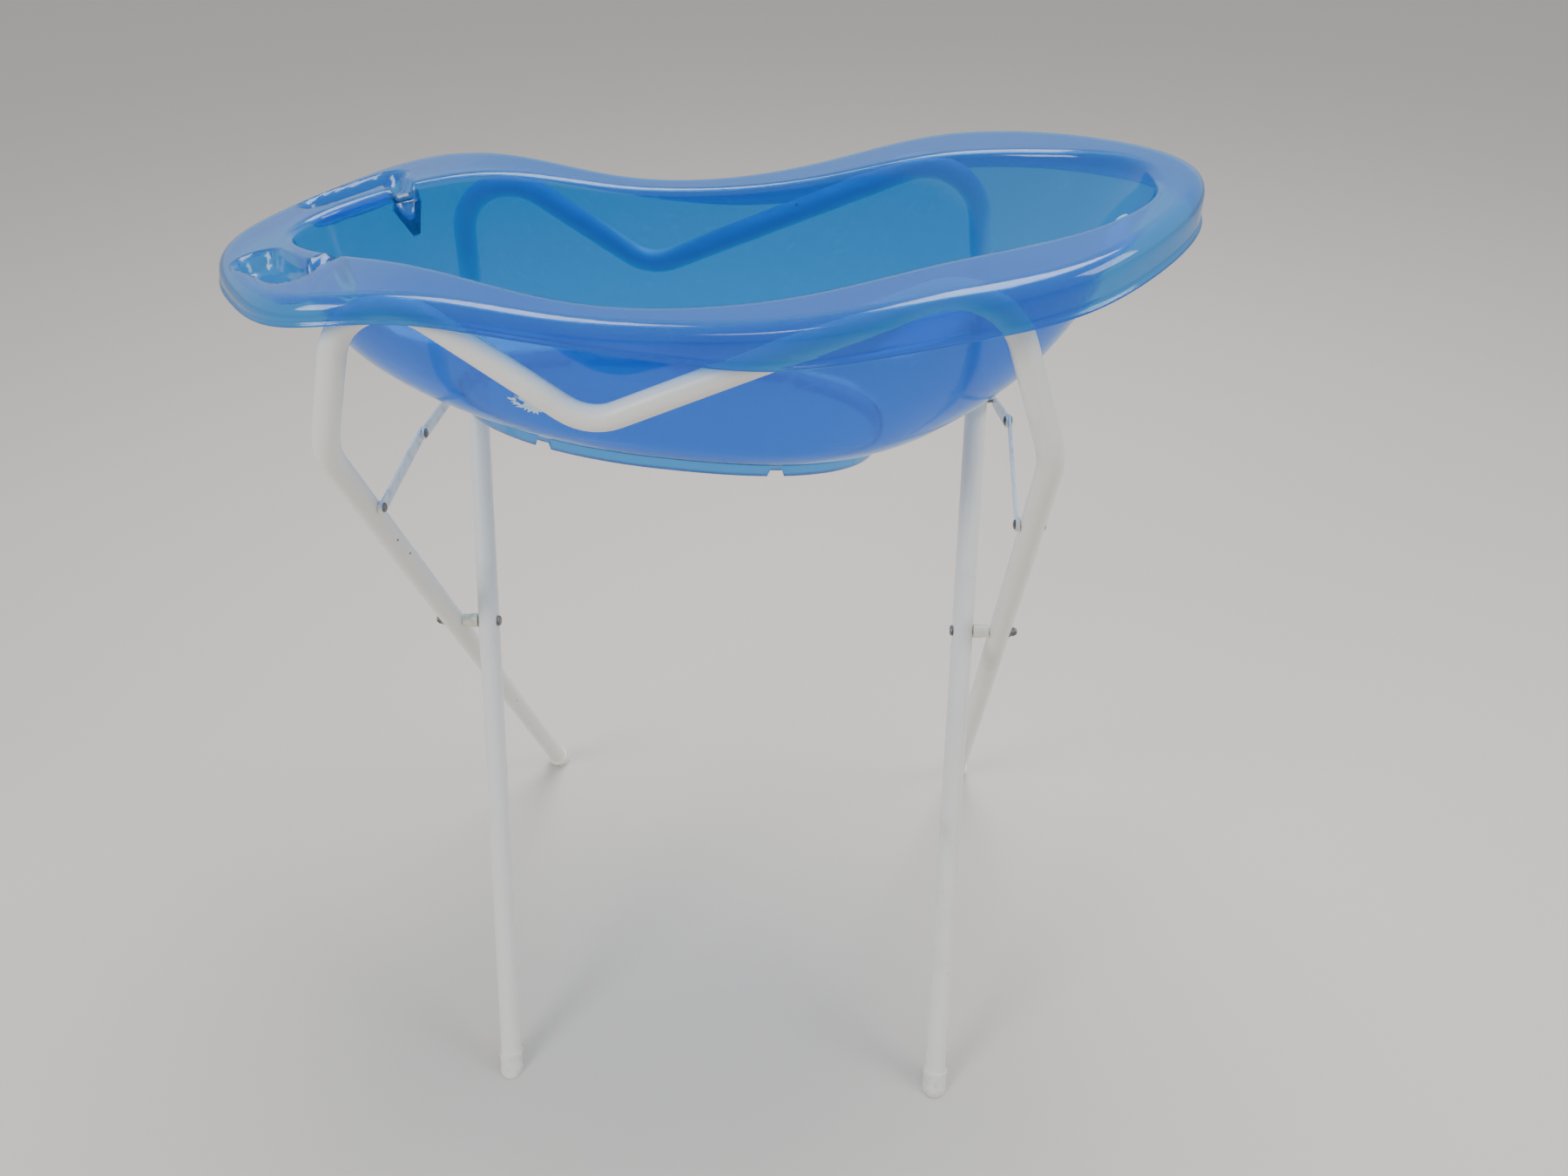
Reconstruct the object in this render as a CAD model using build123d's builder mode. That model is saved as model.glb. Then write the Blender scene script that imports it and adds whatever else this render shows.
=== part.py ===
"""A moulded bathtub for small pets, standing on a folding stand of two bent steel tubes.

All lengths are millimetres. +X runs from the foot end of the tub to its head end, +Y from the
front to the back and +Z up. The origin is on the floor, midway between the four feet.
"""
import os
from math import asin, cos, pi, radians, sin, sqrt, tan

from build123d import *

os.makedirs("parts", exist_ok=True)

# ---------------------------------------------------------------- stand: driving sizes
tube_d = 22.0  # outer diameter of the stand's steel tube
tube_wall = 1.5  # wall of the tube
feet_depth = 489.0  # front feet to back feet, at the floor
leg_lean = 28.7  # degrees that each leg leans from upright
bend_height = 750.0  # floor to the bend where a leg turns up into the top rail
rail_lean = 4.4  # degrees that each M-shaped top rail leans in over the tub
outer_foot_x = 284.0  # half the spacing of the outer frame's feet
outer_bend_x = 292.6  # half its spacing at the bends
inner_foot_x = 235.4  # the same for the inner frame
inner_bend_x = 261.0
foot_peak_x = -247.0  # corner of the M at the foot end, before rounding
foot_peak_z = 904.0
head_peak_x = 244.0  # corner of the M at the head end, before rounding
head_peak_z = 899.0
dip_x = -72.0  # lowest corner of the M, before rounding
dip_z = 775.0
knee_r = 60.0  # centre line radii of the bends
foot_peak_r = 52.0
head_peak_r = 55.0
dip_r = 45.0

# ---------------------------------------------------------------- foot caps
cap_wall = 1.6  # cap wall outside the tube
cap_length = 12.0  # cap skirt up the tube
cap_ring_h = 3.0  # thicker ring at the cap's mouth
cap_ring_proud = 0.6
sole = 3.0  # plastic under the tube end

# ---------------------------------------------------------------- pivots and stays
bolt_d = 6.0
bolt_head_d = 11.0
bolt_head_h = 3.2
nut_d = 10.0
nut_h = 4.0
washer_d = 11.5
washer_t = 1.2
bush_d = 14.5
bush_gap = 0.3  # play between a bush and a tube
fit_gap = 0.05  # radial play of a bolt or rivet in its hole
dent_depth = 1.8  # tubes are pressed in under bolt heads, nuts and rivets
dent_r = 60.0
link_w = 12.0  # stay links are flat bars
link_t = 2.0
link_length = 120.3  # between the link's rivet holes
foot_rivet_r = 250.0  # pivot to the stay's rivet along the leg, foot end
head_rivet_r = 237.0  # the same at the head end
rivet_d = 4.5
rivet_head_d = 8.5
rivet_head_h = 1.6
spacer_t = 1.5  # plastic washer between a leg and its link
link_play = 0.35  # gap between the two links of a stay

# ---------------------------------------------------------------- tub: driving sizes
tub_length = 828.0
foot_half_w = 180.0  # half width over the lip, foot end, middle and head end
waist_half_w = 178.0
head_half_w = 198.0
wall = 3.0
lip_drop_foot = 20.0  # crest of the rim down to the edge of its lip
lip_drop_head = 36.0
base_slope = 6.3  # degrees that the base falls towards the head end
base_z = 705.0  # seam of the base skirt, at x = 0
base_x0 = -232.0  # ends of the base
base_x1 = 165.0
base_half_w = 100.0
skirt_h = 15.0
skirt_wall = 3.0
skirt_inset_end = 6.0  # skirt's outer face inside the base's edge, at its ends and sides
skirt_inset_side = 3.0
notch_w = 14.0  # small notches in the skirt's edge
notch_h = 6.0
notch_inset = 95.0  # from each end of the base to a notch
dish_l = 96.0  # soap dishes in the rim
dish_w = 34.0
dish_depth = 17.0
dish_x = -330.0
dish_y = 92.0
dish_turn = 42.0  # degrees between a dish's length and the tub's
spout_w = 16.0  # the channel that drains each dish into the tub
spout_depth = 11.0
sticker_t = 0.25  # thickness of the sticker and the label
sticker_w = 48.0
sticker_h = 34.0
sticker_z = 872.0  # middle of the sticker over the floor

# ---------------------------------------------------------------- worked out from the above
lean = radians(leg_lean)
foot_y = feet_depth / 2
pivot_z = foot_y / tan(lean)
bend_y = bend_height * tan(lean) - foot_y
tube_r = tube_d / 2


def leg_x(foot_x, bend_x, z):
    """Half spacing of a frame's legs at height z."""
    return foot_x + (bend_x - foot_x) * z / bend_height


def rail_y(z):
    """Distance of the top rail's centre line from the middle plane at height z."""
    return bend_y - (z - bend_height) * tan(radians(rail_lean))


def frame_route(side, foot_x, bend_x, start_z):
    """Corners of one bent tube; side is -1 when its rail is at the front."""
    start_y = -side * (foot_y - start_z * tan(lean))
    corners = [(-leg_x(foot_x, bend_x, start_z), start_y, start_z)]
    corners += [(-bend_x, side * bend_y, bend_height)]
    corners += [(x, side * rail_y(z), z) for x, z in rail_corners]
    corners += [(bend_x, side * bend_y, bend_height)]
    corners += [(leg_x(foot_x, bend_x, start_z), start_y, start_z)]
    return corners


rail_corners = [(foot_peak_x, foot_peak_z), (dip_x, dip_z), (head_peak_x, head_peak_z)]
route_radii = [knee_r, foot_peak_r, dip_r, head_peak_r, knee_r]
tube_start_z = sole + tube_r * sin(lean)


def pressed_dent(centre, outward, tube_direction):
    """The bite and the curved wall of one dent, on the side that outward points to."""
    axis = Vector(*tube_direction).cross(Vector(outward, 0, 0))
    reach = tube_r - dent_depth + dent_r
    frame = Plane(origin=(centre[0] + outward * reach, centre[1], centre[2]), z_dir=axis)
    drum = Cylinder(dent_r, tube_d * 1.2, mode=Mode.PRIVATE)
    bite = frame * drum
    skin = frame * (Cylinder(dent_r + tube_wall, tube_d * 1.2, mode=Mode.PRIVATE) - drum)
    rod = Plane(origin=centre, z_dir=Vector(*tube_direction)) * Cylinder(tube_r, 2 * dent_r, mode=Mode.PRIVATE)
    return bite, skin & rod


def leg_point(side, foot_x, bend_x, hand, along):
    """Point on a leg's centre line at a distance along from the pivot, and the leg's direction."""
    z = pivot_z + along * cos(lean)
    y = side * along * sin(lean)
    direction = (hand * (bend_x - foot_x) / bend_height, side * tan(lean), 1)
    return (hand * leg_x(foot_x, bend_x, z), y, z), direction


def bent_frame(side, foot_x, bend_x, dent_side):
    """One bent tube with its dents and its bolt and rivet holes; returns the finished solid."""
    corners = frame_route(side, foot_x, bend_x, tube_start_z)
    with BuildPart() as frame:
        with BuildLine() as route:
            FilletPolyline(*corners, radius=route_radii)
        path = route.wires()[0]
        with BuildSketch(Plane(origin=path @ 0, z_dir=path % 0)):
            Circle(tube_r)
            Circle(tube_r - tube_wall, mode=Mode.SUBTRACT)
        sweep(path=path)
        for hand, rivet_r in ((-1, foot_rivet_r), (1, head_rivet_r)):
            for along, hole_d in ((0, bolt_d), (rivet_r, rivet_d)):
                centre, direction = leg_point(side, foot_x, bend_x, hand, along)
                bite, skin = pressed_dent(centre, hand * dent_side, direction)
                add(bite, mode=Mode.SUBTRACT)
                add(skin)
                with Locations(Location(centre, (0, 90, 0))):
                    Cylinder(hole_d / 2 + fit_gap, tube_d * 1.5, mode=Mode.SUBTRACT)
    return frame


def finish(piece, name):
    """Label a piece and write it to its own file."""
    piece.part.label = name
    export_step(piece.part, f"parts/{name}.step")


# ---------------------------------------------------------------- stand frames
outer_frame = bent_frame(-1, outer_foot_x, outer_bend_x, 1)
finish(outer_frame, "outer_frame")
inner_frame = bent_frame(1, inner_foot_x, inner_bend_x, -1)
finish(inner_frame, "inner_frame")

# ---------------------------------------------------------------- foot caps
cap_r = tube_r + cap_wall


def foot_cap(side, hand, foot_x, bend_x):
    """A plastic cap pushed over one tube end, with its sole cut level with the floor."""
    direction = Vector(hand * (bend_x - foot_x) / bend_height, side * tan(lean), 1).normalized()
    end_y = -side * (foot_y - tube_start_z * tan(lean))
    end = Vector(hand * leg_x(foot_x, bend_x, tube_start_z), end_y, tube_start_z)
    reach = cap_length + tube_d
    with BuildPart() as cap:
        with BuildSketch(Plane(origin=end - direction * tube_d, z_dir=direction)):
            Circle(cap_r)
        extrude(amount=reach)
        with BuildSketch(Plane(origin=end + direction * (cap_length - cap_ring_h), z_dir=direction)):
            Circle(cap_r + cap_ring_proud)
        extrude(amount=cap_ring_h)
        split(bisect_by=Plane.XY, keep=Keep.TOP)
        with BuildSketch(Plane(origin=end, z_dir=direction)):
            Circle(tube_r)
        extrude(amount=reach, mode=Mode.SUBTRACT)
        fillet(cap.faces().filter_by(GeomType.PLANE).sort_by(Axis.Z)[0].edges(), radius=1.2)
    return cap


for side, foot_x, bend_x, which in (
    (1, inner_foot_x, inner_bend_x, "front"),
    (-1, outer_foot_x, outer_bend_x, "back"),
):
    for hand, end_name in ((-1, "foot_end"), (1, "head_end")):
        finish(foot_cap(side, hand, foot_x, bend_x), f"cap_{which}_{end_name}")

# ---------------------------------------------------------------- pivots
inner_face = leg_x(inner_foot_x, inner_bend_x, pivot_z)
outer_face = leg_x(outer_foot_x, outer_bend_x, pivot_z)
seat_rise = dent_r - sqrt(dent_r**2 - (washer_d / 2) ** 2)  # a dent rises this much under a flat washer
head_seat = inner_face - tube_r + dent_depth - seat_rise
nut_seat = outer_face + tube_r - dent_depth + seat_rise


def cross_plane(hand, x, y, z):
    """A plane across X at |x|, facing away from the middle of the stand."""
    return Plane(origin=(hand * x, y, z), x_dir=(0, 0, 1), z_dir=(hand, 0, 0))


def pivot_bolt(hand):
    """Domed bolt from inside the inner leg to past the nut on the outer leg."""
    with BuildPart() as bolt:
        with BuildSketch(cross_plane(hand, head_seat - bush_gap, 0, pivot_z)):
            Circle(bolt_d / 2)
        extrude(amount=nut_seat - head_seat + washer_t + nut_h + 2)
        with BuildSketch(cross_plane(hand, head_seat - bush_gap - bolt_head_h, 0, pivot_z)):
            Circle(bolt_head_d / 2)
        extrude(amount=bolt_head_h)
        rim_edges = bolt.edges().filter_by(GeomType.CIRCLE).group_by(Axis.X)[0 if hand > 0 else -1]
        fillet(rim_edges, radius=bolt_head_h * 0.7)
    return bolt


def ring_piece(hand, start, length, outer_d, bore_d, y=0.0, z=None):
    """A round bush or washer on an axis along X."""
    with BuildPart() as ring:
        with BuildSketch(cross_plane(hand, start, y, pivot_z if z is None else z)):
            Circle(outer_d / 2)
            Circle(bore_d / 2, mode=Mode.SUBTRACT)
        extrude(amount=length)
    return ring


def pivot_nut(hand):
    """Hexagon nut with its domed cap, tightened on the bolt's end."""
    start = nut_seat + bush_gap + washer_t
    with BuildPart() as nut:
        with BuildSketch(cross_plane(hand, start, 0, pivot_z)):
            RegularPolygon(nut_d / 2, 6)
        extrude(amount=nut_h)
        with BuildSketch(cross_plane(hand, start + nut_h, 0, pivot_z)):
            Circle(nut_d / 2 - 1.2)
        extrude(amount=3)
        top_edges = nut.edges().filter_by(GeomType.CIRCLE).group_by(Axis.X)[-1 if hand > 0 else 0]
        fillet(top_edges, radius=2.2)
        with BuildSketch(cross_plane(hand, start - 1, 0, pivot_z)):
            Circle(bolt_d / 2)
        extrude(amount=nut_seat + 2 + nut_h - start + 1 + washer_t, mode=Mode.SUBTRACT)
    return nut


bush_start = inner_face + tube_r + bush_gap
bush_end = outer_face - tube_r - bush_gap
bush_half = (bush_end - bush_start) / 2
for hand, end_name in ((-1, "foot_end"), (1, "head_end")):
    finish(pivot_bolt(hand), f"pivot_bolt_{end_name}")
    bore = bolt_d + 2 * fit_gap
    finish(ring_piece(hand, bush_start, bush_half, bush_d, bore), f"pivot_bush_inner_{end_name}")
    finish(ring_piece(hand, bush_start + bush_half, bush_half, bush_d - 1.5, bore), f"pivot_bush_outer_{end_name}")
    finish(ring_piece(hand, nut_seat + bush_gap, washer_t, washer_d, bore), f"pivot_washer_{end_name}")
    finish(pivot_nut(hand), f"pivot_nut_{end_name}")

# ---------------------------------------------------------------- stays


def stay_pieces(hand, end_name, rivet_r):
    """The two links of one folding stay, with their rivets and washers."""
    rivet_z = pivot_z + rivet_r * cos(lean)
    rivet_y = rivet_r * sin(lean)
    rise = sqrt(link_length**2 - rivet_y**2)
    leg_inside = leg_x(outer_foot_x, outer_bend_x, rivet_z) - tube_r
    spacer_x = leg_inside - bush_gap - spacer_t
    lower_x = spacer_x - link_t
    upper_x = lower_x - link_play - link_t
    bore = rivet_d + 2 * fit_gap

    def link(x, tip_y, tip_z, slope):
        plane = Plane(origin=(hand * x, tip_y, tip_z), x_dir=(0, cos(slope), sin(slope)), z_dir=(hand, 0, 0))
        with BuildPart() as bar:
            with BuildSketch(plane):
                with Locations((link_length / 2, 0)):
                    SlotCenterToCenter(link_length, link_w)
                with Locations((0, 0), (link_length, 0)):
                    Circle(bore / 2, mode=Mode.SUBTRACT)
            extrude(amount=link_t)
        return bar

    slope = asin(rise / link_length)
    finish(link(lower_x, -rivet_y, rivet_z, slope), f"stay_lower_{end_name}")
    finish(link(upper_x, 0, rivet_z + rise, -slope), f"stay_upper_{end_name}")
    finish(ring_piece(hand, spacer_x, spacer_t, link_w, bore, -rivet_y, rivet_z), f"stay_washer_{end_name}")

    def rivet(y, z, first_x, last_x):
        with BuildPart() as pin:
            with BuildSketch(cross_plane(hand, first_x, y, z)):
                Circle(rivet_d / 2)
            extrude(amount=last_x - first_x)
            for head_x in (first_x - rivet_head_h, last_x):
                with BuildSketch(cross_plane(hand, head_x, y, z)):
                    Circle(rivet_head_d / 2)
                extrude(amount=rivet_head_h)
            fillet(pin.edges().filter_by(GeomType.CIRCLE).group_by(Axis.X)[0], radius=1.0)
            fillet(pin.edges().filter_by(GeomType.CIRCLE).group_by(Axis.X)[-1], radius=1.0)
        return pin

    leg_outside = leg_inside + tube_d - dent_depth
    finish(rivet(-rivet_y, rivet_z, lower_x - fit_gap, leg_outside + bush_gap), f"stay_leg_rivet_{end_name}")
    finish(rivet(0, rivet_z + rise, upper_x - fit_gap, lower_x + link_t + fit_gap), f"stay_mid_rivet_{end_name}")

    inner_outside = leg_x(inner_foot_x, inner_bend_x, rivet_z) + tube_r
    inner_inside = inner_outside - tube_d + dent_depth
    with BuildPart() as stud:
        with BuildSketch(cross_plane(hand, inner_inside - bush_gap, rivet_y, rivet_z)):
            Circle(rivet_d / 2)
        extrude(amount=upper_x - fit_gap * 4 - inner_inside + bush_gap)
        with BuildSketch(cross_plane(hand, inner_inside - bush_gap - rivet_head_h, rivet_y, rivet_z)):
            Circle(rivet_head_d / 2)
        extrude(amount=rivet_head_h)
    finish(stud, f"stay_back_rivet_{end_name}")


for hand, end_name, rivet_r in ((-1, "foot_end", foot_rivet_r), (1, "head_end", head_rivet_r)):
    stay_pieces(hand, end_name, rivet_r)

# ---------------------------------------------------------------- tub
lip_outline = [
    (-0.5 * tub_length, 0),
    (-0.433 * tub_length, 0.66 * foot_half_w),
    (-0.354 * tub_length, 0.98 * foot_half_w),
    (-0.25 * tub_length, foot_half_w),
    (0, waist_half_w),
    (0.25 * tub_length, head_half_w),
    (0.354 * tub_length, 0.88 * head_half_w),
    (0.433 * tub_length, 0.60 * head_half_w),
    (0.5 * tub_length, 0),
]
# the rim's crest line, seen from the front: it dips at the waist and climbs to the head end
crest = [(-480, 858), (-421, 865), (-300, 881), (-207, 886), (-100, 868), (0, 863)]
crest += [(100, 874), (205, 896.5), (300, 908), (421, 926), (480, 934)]
# outer surface of the bowl, parallel to the base: height over the seam, ends, half width
bowl_levels = [
    (0, base_x0, base_x1, base_half_w),
    (12, base_x0 - 38, base_x1 + 26, base_half_w + 9),
    (40, base_x0 - 94, base_x1 + 68, base_half_w + 19),
    (80, base_x0 - 122, base_x1 + 109, base_half_w + 27),
    (130, base_x0 - 134, base_x1 + 141, base_half_w + 34),
    (190, base_x0 - 143, base_x1 + 166, base_half_w + 41),
    (290, base_x0 - 155, base_x1 + 201, base_half_w + 50),
]
slope = radians(base_slope)


def base_plane(height):
    """A plane parallel to the base, at a height over the skirt's seam."""
    up = Vector(sin(slope), 0, cos(slope))
    return Plane(origin=Vector(0, 0, base_z) + up * height, x_dir=(cos(slope), 0, -sin(slope)), z_dir=up)


def oval(x0, x1, half_w, steps=16):
    """A closed curve from x0 to x1, an ellipse at the foot end and fuller at the head end."""
    mid, half_l = (x0 + x1) / 2, (x1 - x0) / 2
    points = []
    for step in range(steps):
        turn = 2 * pi * step / steps
        across, along = sin(turn), cos(turn)
        fullness = 2.5 if along > 0 else 2.0
        x = mid + half_l * abs(along) ** (2 / fullness) * (1 if along > 0 else -1)
        y = half_w * abs(across) ** (2 / fullness) * (1 if across > 0 else -1)
        points.append((x, y))
    return Edge.make_spline(points, periodic=True, parameters=[step / steps for step in range(steps + 1)])


def bowl(inset, floor):
    """The bowl's solid form, inset from its outer surface and starting at a floor height."""
    with BuildPart() as form:
        for height, x0, x1, half_w in bowl_levels:
            with BuildSketch(base_plane(height + (floor if height == 0 else 0))):
                with BuildLine():
                    add(oval(x0 + inset, x1 - inset, half_w - inset))
                make_face()
        loft()
    return form.part


def lip_prism(inset):
    """A tall prism of the lip's outline, inset on all sides."""
    points = [(x * (1 - 2 * inset / tub_length), max(y - inset, 0)) for x, y in lip_outline]
    points += [(x, -y) for x, y in reversed(points[1:-1])]
    with BuildPart() as prism:
        with BuildSketch(Plane.XY.offset(base_z)):
            with BuildLine():
                Spline(*points, periodic=True)
            make_face()
        extrude(amount=400)
    return prism.part


def over_saddle(shifts):
    """Everything above the rim's saddle line, moved up or down by a shift for each of its points."""
    points = [(x, z + shift) for (x, z), shift in zip(crest, shifts)]
    top = base_z + 600
    with BuildPart() as block:
        with BuildSketch(Plane.XZ.offset(-400)):
            with BuildLine():
                Spline(*points)
                Polyline(points[-1], (points[-1][0], top), (points[0][0], top), points[0])
            make_face()
        extrude(amount=800)
    return block.part


def rim_form(inset):
    """The rim's solid form below its crest, inset on all sides."""
    with BuildPart() as rim:
        add(lip_prism(inset))
        add(over_saddle([-inset] * len(crest)), mode=Mode.SUBTRACT)
    return rim.part


def dish_forms(grow):
    """Both soap dishes and their spouts as solid forms, grown by a wall on all sides."""
    top = base_z + 400
    with BuildPart() as forms:
        for side in (-1, 1):
            turn = side * dish_turn
            spot = Plane(origin=(dish_x, side * dish_y, crest_at_dish)).rotated((0, 0, turn))
            with BuildSketch(spot.offset(-dish_depth - grow)):
                SlotOverall(dish_l + 2 * grow, dish_w + 2 * grow)
            extrude(amount=top - crest_at_dish)
            with BuildSketch(spot.offset(-spout_depth - grow)):
                with Locations((dish_l / 2 - dish_w / 2, -side * dish_w * 0.75)):
                    Rectangle(spout_w + 2 * grow, dish_w * 1.5)
            extrude(amount=top - crest_at_dish)
    return forms.part


lip_drops = [-lip_drop_foot] * 5 + [-(lip_drop_foot + lip_drop_head) / 2] + [-lip_drop_head] * 5
crest_at_dish = crest[2][1] + (dish_x - crest[2][0]) * (crest[2][1] - crest[1][1]) / (crest[2][0] - crest[1][0])
bore_inset = skirt_inset_end + skirt_wall
outer_bowl = bowl(0, 0)
rim_solid = rim_form(0)

with BuildPart() as tub_shell:
    add(outer_bowl)
    add(over_saddle([0] * len(crest)), mode=Mode.SUBTRACT)
    # the skirt that the tub stands on when it is off its stand
    with BuildSketch(base_plane(-skirt_h)):
        with BuildLine():
            add(oval(base_x0 + skirt_inset_end, base_x1 - skirt_inset_end, base_half_w - skirt_inset_side))
        make_face()
    extrude(amount=skirt_h + 1)
    with BuildSketch(base_plane(-skirt_h)):
        with BuildLine():
            add(oval(base_x0 + bore_inset, base_x1 - bore_inset, base_half_w - skirt_inset_side - skirt_wall))
        make_face()
    extrude(amount=skirt_h, mode=Mode.SUBTRACT)
    with BuildSketch(base_plane(-skirt_h)):
        with Locations((base_x0 + notch_inset, 0), (base_x1 - notch_inset, 0)):
            Rectangle(notch_w, 2 * base_half_w + 20)
    extrude(amount=notch_h, mode=Mode.SUBTRACT)
    # the rim's top plate and hanging lip
    add((rim_solid & over_saddle(lip_drops)) - rim_form(wall))
    add(dish_forms(wall) & rim_solid)
    # the inside
    add(bowl(wall, wall), mode=Mode.SUBTRACT)
    add(dish_forms(0), mode=Mode.SUBTRACT)
finish(tub_shell, "tub_shell")

# ---------------------------------------------------------------- sticker and label
# oval sticker on the inside of the head end wall
with BuildPart() as oval_sticker:
    add(bowl(wall, wall))
    add(bowl(wall + sticker_t, wall), mode=Mode.SUBTRACT)
    with BuildSketch(Plane(origin=(base_x1, 0, sticker_z), x_dir=(0, 1, 0), z_dir=(1, 0, 0))):
        Ellipse(sticker_w / 2, sticker_h / 2)
    extrude(amount=tub_length / 2, mode=Mode.INTERSECT)
finish(oval_sticker, "oval_sticker")

# worn label on the lower front wall, ragged at its edges
with BuildPart() as worn_label:
    add(bowl(-sticker_t, 0))
    add(outer_bowl, mode=Mode.SUBTRACT)
    with BuildSketch(Plane.XZ.offset(90)):
        with BuildLine():
            ragged = [(-153, 778), (-146, 768), (-138, 771), (-131, 761), (-122, 763), (-116, 755), (-107, 757)]
            ragged += [(-109, 764), (-117, 768), (-121, 776), (-131, 775), (-139, 782), (-147, 780)]
            Polyline(*ragged, close=True)
        make_face()
    extrude(amount=80, mode=Mode.INTERSECT)
finish(worn_label, "worn_label")
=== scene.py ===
"""Looks of a pet bathtub on a folding stand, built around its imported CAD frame.

Blender works in metres here; the sizes of moulded details are given in millimetres and turned by MM.
+X runs from the tub's foot end to its head end, +Y from front to back and +Z up.
"""

import logging
import math
import random
from dataclasses import dataclass, field
from enum import Enum
from typing import Any

import bpy
import numpy as np
from mathutils import Matrix, Vector

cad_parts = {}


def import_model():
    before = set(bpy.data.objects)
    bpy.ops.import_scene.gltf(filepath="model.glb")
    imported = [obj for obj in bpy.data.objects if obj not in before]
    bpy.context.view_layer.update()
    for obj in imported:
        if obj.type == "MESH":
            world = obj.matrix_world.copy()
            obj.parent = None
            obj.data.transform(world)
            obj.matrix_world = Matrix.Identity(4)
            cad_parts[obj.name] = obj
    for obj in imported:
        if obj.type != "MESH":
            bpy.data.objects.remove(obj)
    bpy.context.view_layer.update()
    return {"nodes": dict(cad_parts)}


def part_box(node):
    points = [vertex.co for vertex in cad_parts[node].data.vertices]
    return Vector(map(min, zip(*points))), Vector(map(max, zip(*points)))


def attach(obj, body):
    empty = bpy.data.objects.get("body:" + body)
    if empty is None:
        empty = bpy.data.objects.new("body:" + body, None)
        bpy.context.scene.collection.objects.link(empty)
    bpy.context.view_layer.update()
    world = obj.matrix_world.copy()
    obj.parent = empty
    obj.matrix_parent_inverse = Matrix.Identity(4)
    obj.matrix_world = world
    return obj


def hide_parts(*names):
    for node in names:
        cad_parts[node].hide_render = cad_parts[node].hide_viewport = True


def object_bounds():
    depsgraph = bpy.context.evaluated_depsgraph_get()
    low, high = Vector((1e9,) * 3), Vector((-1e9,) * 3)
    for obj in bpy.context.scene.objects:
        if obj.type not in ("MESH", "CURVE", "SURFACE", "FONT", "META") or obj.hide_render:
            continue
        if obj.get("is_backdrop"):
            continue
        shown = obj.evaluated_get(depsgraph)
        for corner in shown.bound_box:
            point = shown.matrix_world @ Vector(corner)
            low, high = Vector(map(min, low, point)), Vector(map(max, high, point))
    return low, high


MM = 0.001
LOG = logging.getLogger("pet_bathtub")


class Body(Enum):
    """The CAD bodies that new pieces ride on."""

    OUTER_FRAME = "outer_frame"
    TUB = "tub"


class Slot(Enum):
    """Material slot names for new pieces; nothing in this script gives a piece one."""

    TUB = "tub_plastic"
    STICKER = "sticker_film"
    LABEL = "label_film"
    FASTENER = "fastener_steel"


# ---------------------------------------------------------------- colours, nodes and meshes


def linear(hex_colour: str) -> tuple[float, float, float, float]:
    """Turns an sRGB hex colour into a linear one.

    Args:
        hex_colour: Six hex digits after a hash sign.

    Returns:
        Red, green, blue and an alpha of one, in linear light.
    """
    channels = [int(hex_colour[i : i + 2], 16) / 255 for i in (1, 3, 5)]
    toned = [c / 12.92 if c <= 0.04045 else ((c + 0.055) / 1.055) ** 2.4 for c in channels]
    return toned[0], toned[1], toned[2], 1.0


def per_mm(size_mm: float) -> float:
    """Gives a texture scale whose pattern repeats about every size_mm."""
    return 1000.0 / size_mm


def add_node(
    tree: bpy.types.NodeTree,
    kind: str,
    settings: dict[str, Any] | None = None,
    inputs: dict[str | int, Any] | None = None,
) -> bpy.types.Node:
    """Adds one node with its options, values and links.

    Args:
        tree: The material's node tree.
        kind: Blender's name of the node type.
        settings: Options set on the node itself.
        inputs: A value or an output socket for each named input.

    Returns:
        The new node.
    """
    made = tree.nodes.new(kind)
    for name, value in (settings or {}).items():
        setattr(made, name, value)
    for name, value in (inputs or {}).items():
        if isinstance(value, bpy.types.NodeSocket):
            tree.links.new(value, made.inputs[name])
        else:
            made.inputs[name].default_value = value
    return made


def add_ramp(
    tree: bpy.types.NodeTree, source: bpy.types.NodeSocket, low: float, high: float
) -> bpy.types.NodeSocket:
    """Spreads a value between two limits to the range from nought to one.

    Args:
        tree: The material's node tree.
        source: The value to spread.
        low: The value that becomes nought.
        high: The value that becomes one.

    Returns:
        The spread value, held within its range.
    """
    node = add_node(
        tree,
        "ShaderNodeMapRange",
        {"clamp": True},
        {"Value": source, "From Min": low, "From Max": high, "To Min": 0.0, "To Max": 1.0},
    )
    return node.outputs["Result"]


def make_piece(name: str, points: list[Vector], faces: list[tuple[int, ...]]) -> bpy.types.Object:
    """Makes a smooth shaded mesh object.

    Args:
        name: The piece's name.
        points: Its vertices in metres.
        faces: Its faces as vertex numbers.

    Returns:
        The linked object.
    """
    mesh = bpy.data.meshes.new(name)
    mesh.from_pydata([tuple(p) for p in points], [], faces)
    mesh.validate()
    mesh.shade_smooth()
    piece = bpy.data.objects.new(name, mesh)
    bpy.context.scene.collection.objects.link(piece)
    return piece


def ring_faces(columns: int, rings: int, first: int = 0) -> list[tuple[int, ...]]:
    """Gives the quads between closed rings of vertices.

    Args:
        columns: Vertices in each ring.
        rings: How many rings there are.
        first: Number of the first ring's first vertex.

    Returns:
        Faces as vertex numbers.
    """
    faces = []
    for ring in range(rings - 1):
        low = first + ring * columns
        high = low + columns
        for column in range(columns):
            after = (column + 1) % columns
            faces.append((low + column, high + column, high + after, low + after))
    return faces


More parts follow.
